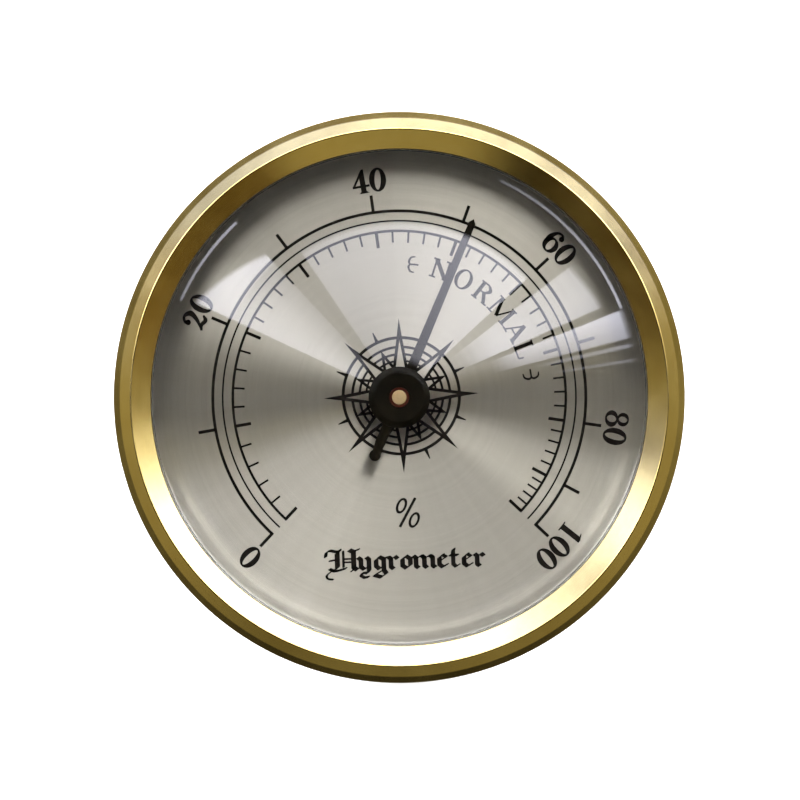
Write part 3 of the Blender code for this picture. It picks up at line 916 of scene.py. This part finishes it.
def pen_o(sheet):
    sheet.nib([(0.22, 0.9), (0.03, 0.72), (0.03, 0.28), (0.22, 0.1)])
    sheet.nib([(0.22, 0.9), (0.44, 0.72), (0.44, 0.28), (0.22, 0.1)])


def pen_m(sheet):
    for x in (0.0, 0.44, 0.88):
        pen_minim(sheet, x)
    for x in (0.06, 0.5):
        sheet.nib([(x, 0.72), (x + 0.24, 0.9), (x + 0.38, 0.78)], 0.2)


def pen_e(sheet):
    sheet.nib([(0.22, 0.9), (0.03, 0.72), (0.03, 0.28), (0.2, 0.1), (0.42, 0.24)])
    sheet.nib([(0.2, 0.9), (0.4, 0.76), (0.06, 0.5)], 0.2)


def pen_t(sheet):
    sheet.nib([(0.1, 1.26), (0.06, 1.1), (0.06, 0.26), (0.2, 0.1), (0.34, 0.2)], 0.24)
    sheet.nib([(-0.1, 0.86), (0.3, 0.86)], 0.2)


def make_type_word():
    """The instrument's kind, in ornamental broad-nib letters under the percent sign."""
    sheet = Print()
    size, width, baseline = 1.84, 19.3, -21.1
    word = (
        (pen_h, 1.66), (pen_y, 0.80), (pen_g, 0.80), (pen_r, 0.60), (pen_o, 0.72),
        (pen_m, 1.22), (pen_e, 0.70), (pen_t, 0.60), (pen_e, 0.70), (pen_r, 0.50),
    )
    total = sum(advance for _, advance in word)
    fit = width / (size * total)
    x = -width / 2 + 0.3
    for letter, advance in word:
        sheet.move(x, baseline, 0.0, size, fit)
        letter(sheet)
        x += advance * size * fit
    sheet.build("type_print")


def make_rose():
    """The compass rose: rings, eight hollow spikes, small points and ticks between. It is
    printed a little up and to the right of the pivot."""
    sheet = Print()
    centre = (0.25, 0.18)
    sheet.move(*centre)
    tip, reach, inside_end, base = 9.5, 8.6, 6.8, 3.0
    for radius, width in ((7.12, 0.36), (5.98, 0.31), (5.1, 0.28), (4.3, 0.24)):
        half = 1.0 - (radius - base) / (reach - base) + 0.02
        clear = math.degrees(half / radius)
        for number in range(8):
            middle = 45.0 * number
            sheet.arc(radius, middle + clear, middle + 45.0 - clear, width)
    for number in range(8):
        angle = 45.0 * number
        sheet.move(*centre, angle)
        for side in (-1.0, 1.0):
            sheet.polygon([
                (side, base), (side * 0.34, inside_end + 0.3),
                (0.0, inside_end), (side * 0.64, base),
            ])
        sheet.polygon([(-0.34, inside_end + 0.3), (0.0, inside_end), (0.34, inside_end + 0.3),
                       (0.0, tip)])
        sheet.move(*centre, angle + 22.5)
        sheet.polygon([(-0.23, 7.1), (0.23, 7.1), (0.06, 8.45), (-0.06, 8.45)])
        for side in (-1.0, 1.0):
            sheet.polygon([(0.0, 6.05), (side * 0.86, 3.2), (side * 0.48, 3.2), (0.0, 4.9)])
    sheet.build("rose_print")


# ---------------------------------------------------------------- movement


def finish_nodes():
    """Gives the CAD pieces inside the case their materials and softer edges."""
    brass = (
        "coil_collet", "movement_plate", "front_bush", "dial_foot_upper", "dial_foot_lower",
        "pillar_1", "pillar_2", "pillar_3", "bridge", "calibration_hub", "coil_stud",
    )
    steel = (
        "foot_nut_upper", "foot_nut_lower", "pillar_screw_1", "pillar_screw_2",
        "pillar_screw_3", "friction_washer", "calibration_arm", "retaining_ring",
    )
    for names, material in ((brass, MOVEMENT), (steel, STEEL)):
        for name in names:
            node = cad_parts[name]
            node.data.materials.clear()
            node.data.materials.append(material)
            bevel = node.modifiers.new("edges", "BEVEL")
            bevel.width = 0.06 * MM
            bevel.segments = 2
            bevel.limit_method = "ANGLE"
            bevel.angle_limit = math.radians(40.0)


def make_coil():
    """The spiral strip, wound evenly along its length."""
    turns, thick, inner_r, end_r = 4, 0.25, 2.25, 9.4
    steps, front, back = 96 * turns, 7.7, 10.3
    bm = bmesh.new()
    rows, shares = [], []
    for index in range(steps + 1):
        share = index / steps
        angle = 360.0 * turns * (share - 1.0)
        middle = inner_r + (end_r - inner_r) * share
        row = []
        for r, depth in (
            (middle - thick / 2, front), (middle + thick / 2, front),
            (middle + thick / 2, back), (middle - thick / 2, back),
        ):
            x, z = polar(r, angle)
            row.append(bm.verts.new((x, depth, z)))
            shares.append(share)
        rows.append(row)
    for before, after in zip(rows, rows[1:]):
        for corner in range(4):
            following = (corner + 1) % 4
            bm.faces.new((before[corner], before[following], after[following], after[corner]))
    bm.faces.new(rows[0])
    bm.faces.new(rows[-1][::-1])
    coil = add_piece("coil", bm, COIL, ["humidity_coil"], None)
    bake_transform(coil)


# ---------------------------------------------------------------- studio

# What the object reflects, by direction. Each row is an angle clockwise from the top as seen
# from the front, and the light from there; each ring holds at one distance from straight
# ahead, in degrees.
WARM, WHITE, COOL, BROWN = (1.0, 0.9, 0.5), (1.0, 1.0, 1.0), (0.95, 1.04, 1.7), (1.0, 0.70, 0.2)
SKY = (0.92, 1.09, 2.1)
BEHIND = (
    (-180, 0.03, WARM), (-150, 0.04, WARM), (-120, 0.1, WARM), (-90, 0.16, WARM),
    (-60, 0.2, WARM), (0, 0.3, WARM), (90, 0.28, WARM), (120, 0.16, WARM),
    (150, 0.04, WARM), (180, 0.03, WARM),
)
BESIDE = (
    (-120, 0.5, WARM), (-105, 0.48, WARM), (-90, 0.55, WARM), (-75, 0.52, WARM),
    (-60, 0.44, WARM), (-45, 0.86, SKY), (-30, 1.15, SKY), (-15, 1.35, SKY), (0, 1.4, SKY),
    (30, 1.35, SKY), (42, 0.8, SKY), (56, 0.27, COOL), (75, 0.44, WARM), (90, 0.40, WARM),
    (120, 0.52, WARM), (150, 0.34, WARM),
)
RINGS = {
    32.5: ((-180, 0.0, WARM), (180, 0.0, WARM)),
    37.5: (
        (-180, 0.03, WARM), (-150, 0.02, WARM), (-105, 0.02, WARM), (-90, 0.03, WARM),
        (-84, 0.8, WARM), (-81, 0.3, WARM), (-76, 0.9, WARM), (-67, 9.0, WHITE),
        (-56, 13.0, WHITE), (-45, 6.6, WHITE), (-38, 5.9, WHITE), (-30, 7.2, WHITE),
        (-15, 6.4, WHITE), (0, 7.9, WHITE), (15, 8.9, WHITE), (32, 9.7, WHITE),
        (48, 9.3, WHITE), (53, 7.4, WHITE), (60, 10.2, WHITE), (68, 7.6, WHITE),
        (75, 3.2, WARM), (79, 1.1, WARM), (81, 2.0, WARM), (84, 0.3, WARM),
        (90, 0.03, WARM), (105, 0.02, WARM), (150, 0.02, WARM), (180, 0.03, WARM),
    ),
    52.0: (
        (-180, 0.10, WARM), (-150, 0.03, WARM), (-105, 0.02, WARM), (-90, 0.03, WARM),
        (-76, 0.9, WARM), (-60, 12.0, WHITE), (-42, 6.5, WHITE), (0, 7.4, WHITE),
        (30, 8.9, WHITE), (60, 9.9, WHITE), (76, 2.4, WARM), (90, 0.03, WARM),
        (105, 0.02, WARM), (150, 0.03, WARM), (180, 0.10, WARM),
    ),
    62.0: (
        (-180, 0.12, WARM), (-150, 0.05, WARM), (-105, 0.10, WARM), (-90, 0.25, WARM),
        (-75, 0.9, WARM), (-60, 2.4, WHITE), (0, 2.2, WHITE), (60, 2.4, WHITE),
        (75, 0.9, WARM), (90, 0.2, WARM), (105, 0.12, BROWN), (150, 0.10, BROWN),
        (180, 0.12, WARM),
    ),
    72.0: (
        (-180, 0.42, WARM), (-163, 0.44, WARM), (-151, 0.02, BROWN), (-135, 0.05, BROWN),
        (-120, 0.07, BROWN), (-105, 0.10, BROWN), (-90, 0.36, WARM), (-75, 0.42, COOL),
        (-60, 4.5, COOL), (-45, 1.15, COOL), (-15, 4.5, COOL), (0, 8.0, WHITE),
        (60, 7.5, COOL), (70, 4.0, COOL), (78, 2.0, WHITE), (90, 0.40, WARM),
        (105, 0.22, BROWN), (120, 0.17, BROWN), (135, 0.12, BROWN), (150, 0.14, BROWN),
        (162, 0.50, WARM), (180, 0.42, WARM),
    ),
    79.0: (
        (-180, 0.42, WARM), (-163, 0.44, WARM), (-151, 0.03, BROWN), (-135, 0.07, BROWN),
        (-120, 0.08, BROWN), (-105, 0.12, BROWN), (-90, 0.36, WARM), (-75, 0.4, COOL),
        (-60, 2.4, COOL), (-45, 1.1, COOL), (-15, 3.4, COOL), (0, 4.4, WHITE),
        (55, 4.0, COOL), (75, 1.3, WHITE), (90, 0.40, WARM), (105, 0.24, BROWN),
        (120, 0.18, BROWN), (135, 0.14, BROWN), (150, 0.17, BROWN), (162, 0.50, WARM),
        (180, 0.42, WARM),
    ),
    84.5: ((-180, 0.20, WARM), (-150, 0.25, WARM), *BESIDE, (180, 0.20, WARM)),
    88.0: ((-180, 0.18, WARM), (-150, 0.24, WARM), *BESIDE, (180, 0.18, WARM)),
    93.0: BEHIND,
    112.0: BEHIND,
    135.0: (
        (-180, 0.25, WHITE), (-90, 0.45, WHITE), (0, 1.3, WHITE), (90, 0.6, WHITE),
        (180, 0.25, WHITE),
    ),
}
# Bright panels near the camera, which the lens reflects: from and to which angle, from how
# far out to how far out (at the first angle and at the last), how bright at the first angle
# and at the last, how much of that is left at the inner edge, and how soft that edge is.
# Rays that have passed through the glass don't see them, so they don't light the dial.
PANELS = (
    (-32.0, 49.0, 3.2, 14.6, 14.6, 2.8, 5.3, 0.5, 0.5),
    (-63.0, -41.0, 3.6, 18.7, 16.2, 5.2, 1.7, 0.55, 0.5),
    (-63.0, -41.0, 15.3, 18.7, 16.3, 0.9, 6.0, 0.8, 0.4),
    (54.5, 68.0, 7.2, 17.9, 18.4, 3.4, 4.4, 1.25, 2.6),
    (70.5, 77.5, 9.0, 19.8, 19.8, 9.0, 5.0, 0.55, 1.6),
    (78.8, 79.8, 12.0, 19.8, 19.8, 3.2, 3.2, 0.5, 1.2),
    (82.6, 83.2, 13.0, 19.8, 19.8, 2.4, 2.4, 0.5, 1.2),
    (-64.0, -41.0, 19.62, 19.78, 19.78, 3.0, 6.0, 1.0, 0.05),
    (27.0, 70.0, 19.62, 19.78, 19.78, 1.6, 7.0, 1.0, 0.05),
)


def make_world():
    world = bpy.data.worlds.new("studio")
    world.use_nodes = True
    bpy.context.scene.world = world
    made = Nodes(world.node_tree)
    made.tree.nodes.clear()
    split = made.node("SeparateXYZ", {0: made.node("TexCoord").outputs["Generated"]}).outputs
    around = made.dial_angle(split[0], split[2])
    off_axis = made.math("DEGREES", made.math("ARCCOSINE", made.math("MULTIPLY", split[1], -1.0)))
    share = made.ramp(around, 0.0, 1.0, -180.0, 180.0)
    colour, before = None, None
    for distance, stops in RINGS.items():
        level_ramp = made.node("ValToRGB", {0: share})
        elements = level_ramp.color_ramp.elements
        while len(elements) < len(stops):
            elements.new(0.5)
        for element, (angle, level, tint) in zip(elements, stops):
            element.position = (angle + 180.0) / 360.0
            element.color = (*(level * part for part in tint), 1.0)
        if colour is None:
            colour = level_ramp.outputs[0]
        else:
            blend = made.ramp(off_axis, 0.0, 1.0, before, distance, smooth=True)
            colour = made.mix(blend, colour, level_ramp.outputs[0])
        before = distance
    depth = made.node("LightPath").outputs["Transmission Depth"]
    outside = made.math("LESS_THAN", depth, 1.5)
    for start, end, near, far_start, far_end, first, last, inner, soft in PANELS:
        far = made.ramp(around, far_start, far_end, start, end)
        masks = (
            made.ramp(around, 0.0, 1.0, start - 0.4, start + 0.4, smooth=True),
            made.ramp(around, 1.0, 0.0, end - 0.4, end + 0.4, smooth=True),
            made.ramp(off_axis, 0.0, 1.0, near - soft, near + soft, smooth=True),
            made.math(
                "DIVIDE", made.math("SUBTRACT", far, off_axis), min(soft, 0.5), clamp=True
            ),
            made.ramp(off_axis, inner, 1.0, near, max(far_start, far_end)),
            outside,
        )
        level = made.ramp(around, first, last, start, end)
        for mask in masks:
            level = made.math("MULTIPLY", level, mask)
        blue = made.math("MULTIPLY", level, 1.14)
        panel = made.node("CombineColor", {0: level, 1: level, 2: blue}).outputs[0]
        colour = made.node(
            "Mix", {0: 1.0, 6: colour, 7: panel}, data_type="RGBA", blend_type="ADD"
        ).outputs[2]
    back = made.node("Background", {0: colour, 1: 1.0})
    output = made.node("OutputWorld", {0: back.outputs[0]})
    output.is_active_output = True


def make_backdrop():
    """A white floor, and a round white wall that closes overhead, wide enough for the camera to
    stand inside it on every side."""
    floor_z, reach, steps = -0.0353, 3.0, 48
    wall = [
        (reach * math.cos(math.radians(tilt)), floor_z + reach * math.sin(math.radians(tilt)))
        for tilt in range(0, 90, 6)
    ]
    shader = Shader("backdrop_white", Roughness=0.9, Base_Color=rgb(0.86, 0.86, 0.86))
    shader.main.inputs["Emission Color"].default_value = rgb(1.0, 1.0, 1.0)
    shader.main.inputs["Emission Strength"].default_value = 0.92
    for name, rows in (("floor", [(reach, floor_z), (0.01, floor_z)]), ("wall", wall)):
        points, faces = [], []
        for radius, z in rows:
            for index in range(steps):
                turn = math.tau * index / steps
                points.append((radius * math.cos(turn), radius * math.sin(turn), z))
        for row in range(len(rows) - 1):
            for index in range(steps):
                after = (index + 1) % steps
                first, second = row * steps, (row + 1) * steps
                faces.append((first + index, first + after, second + after, second + index))
        faces.append([(len(rows) - 1) * steps + index for index in range(steps)])
        mesh = bpy.data.meshes.new(name)
        mesh.from_pydata(points, [], faces)
        mesh.materials.append(shader.material)
        obj = add_object(name, mesh)
        obj.visible_glossy = False
        obj.visible_transmission = False
        if name == "wall":
            obj.visible_shadow = False
            obj.visible_diffuse = False


def make_camera():
    """Square on to the dial, rolled a little, as the instrument is turned a little."""
    distance, roll, sensor = 1.2, 2.0, 36.0
    centre_x, centre_z = 0.07344 * MM, -0.33048 * MM
    # The picture is this wide, in a plane this far in front of the bezel's back.
    frame_width, plane = 97.92 * MM, 1.5 * MM
    data = bpy.data.cameras.new("camera")
    data.sensor_width = sensor
    data.lens = sensor * (distance - plane) / frame_width
    camera = add_object("camera", data)
    camera.location = (centre_x, -distance, centre_z)
    camera.rotation_euler = (math.radians(90.0), math.radians(roll), 0.0)
    data.clip_start, data.clip_end = 0.01, 20.0
    bpy.context.scene.camera = camera


def make_key_light():
    """A small square lamp above and to the right, which throws the soft shadows."""
    place = Vector((0.17, -0.42, 0.40))
    light = bpy.data.lights.new("key", "AREA")
    light.shape = "RECTANGLE"
    light.size, light.size_y = 0.16, 0.16
    light.energy = 0.05
    obj = add_object("key", light)
    obj.location = place
    obj.rotation_euler = (-place).to_track_quat("-Z", "Y").to_euler()


bpy.context.scene.view_settings.view_transform = "Standard"
make_camera()
make_bezel()
make_lens()
make_dial()
make_scale()
make_numbers()
make_zone_word()
make_percent()
make_type_word()
make_rose()
make_case()
make_pointer()
make_coil()
finish_nodes()
make_world()
make_backdrop()
make_key_light()
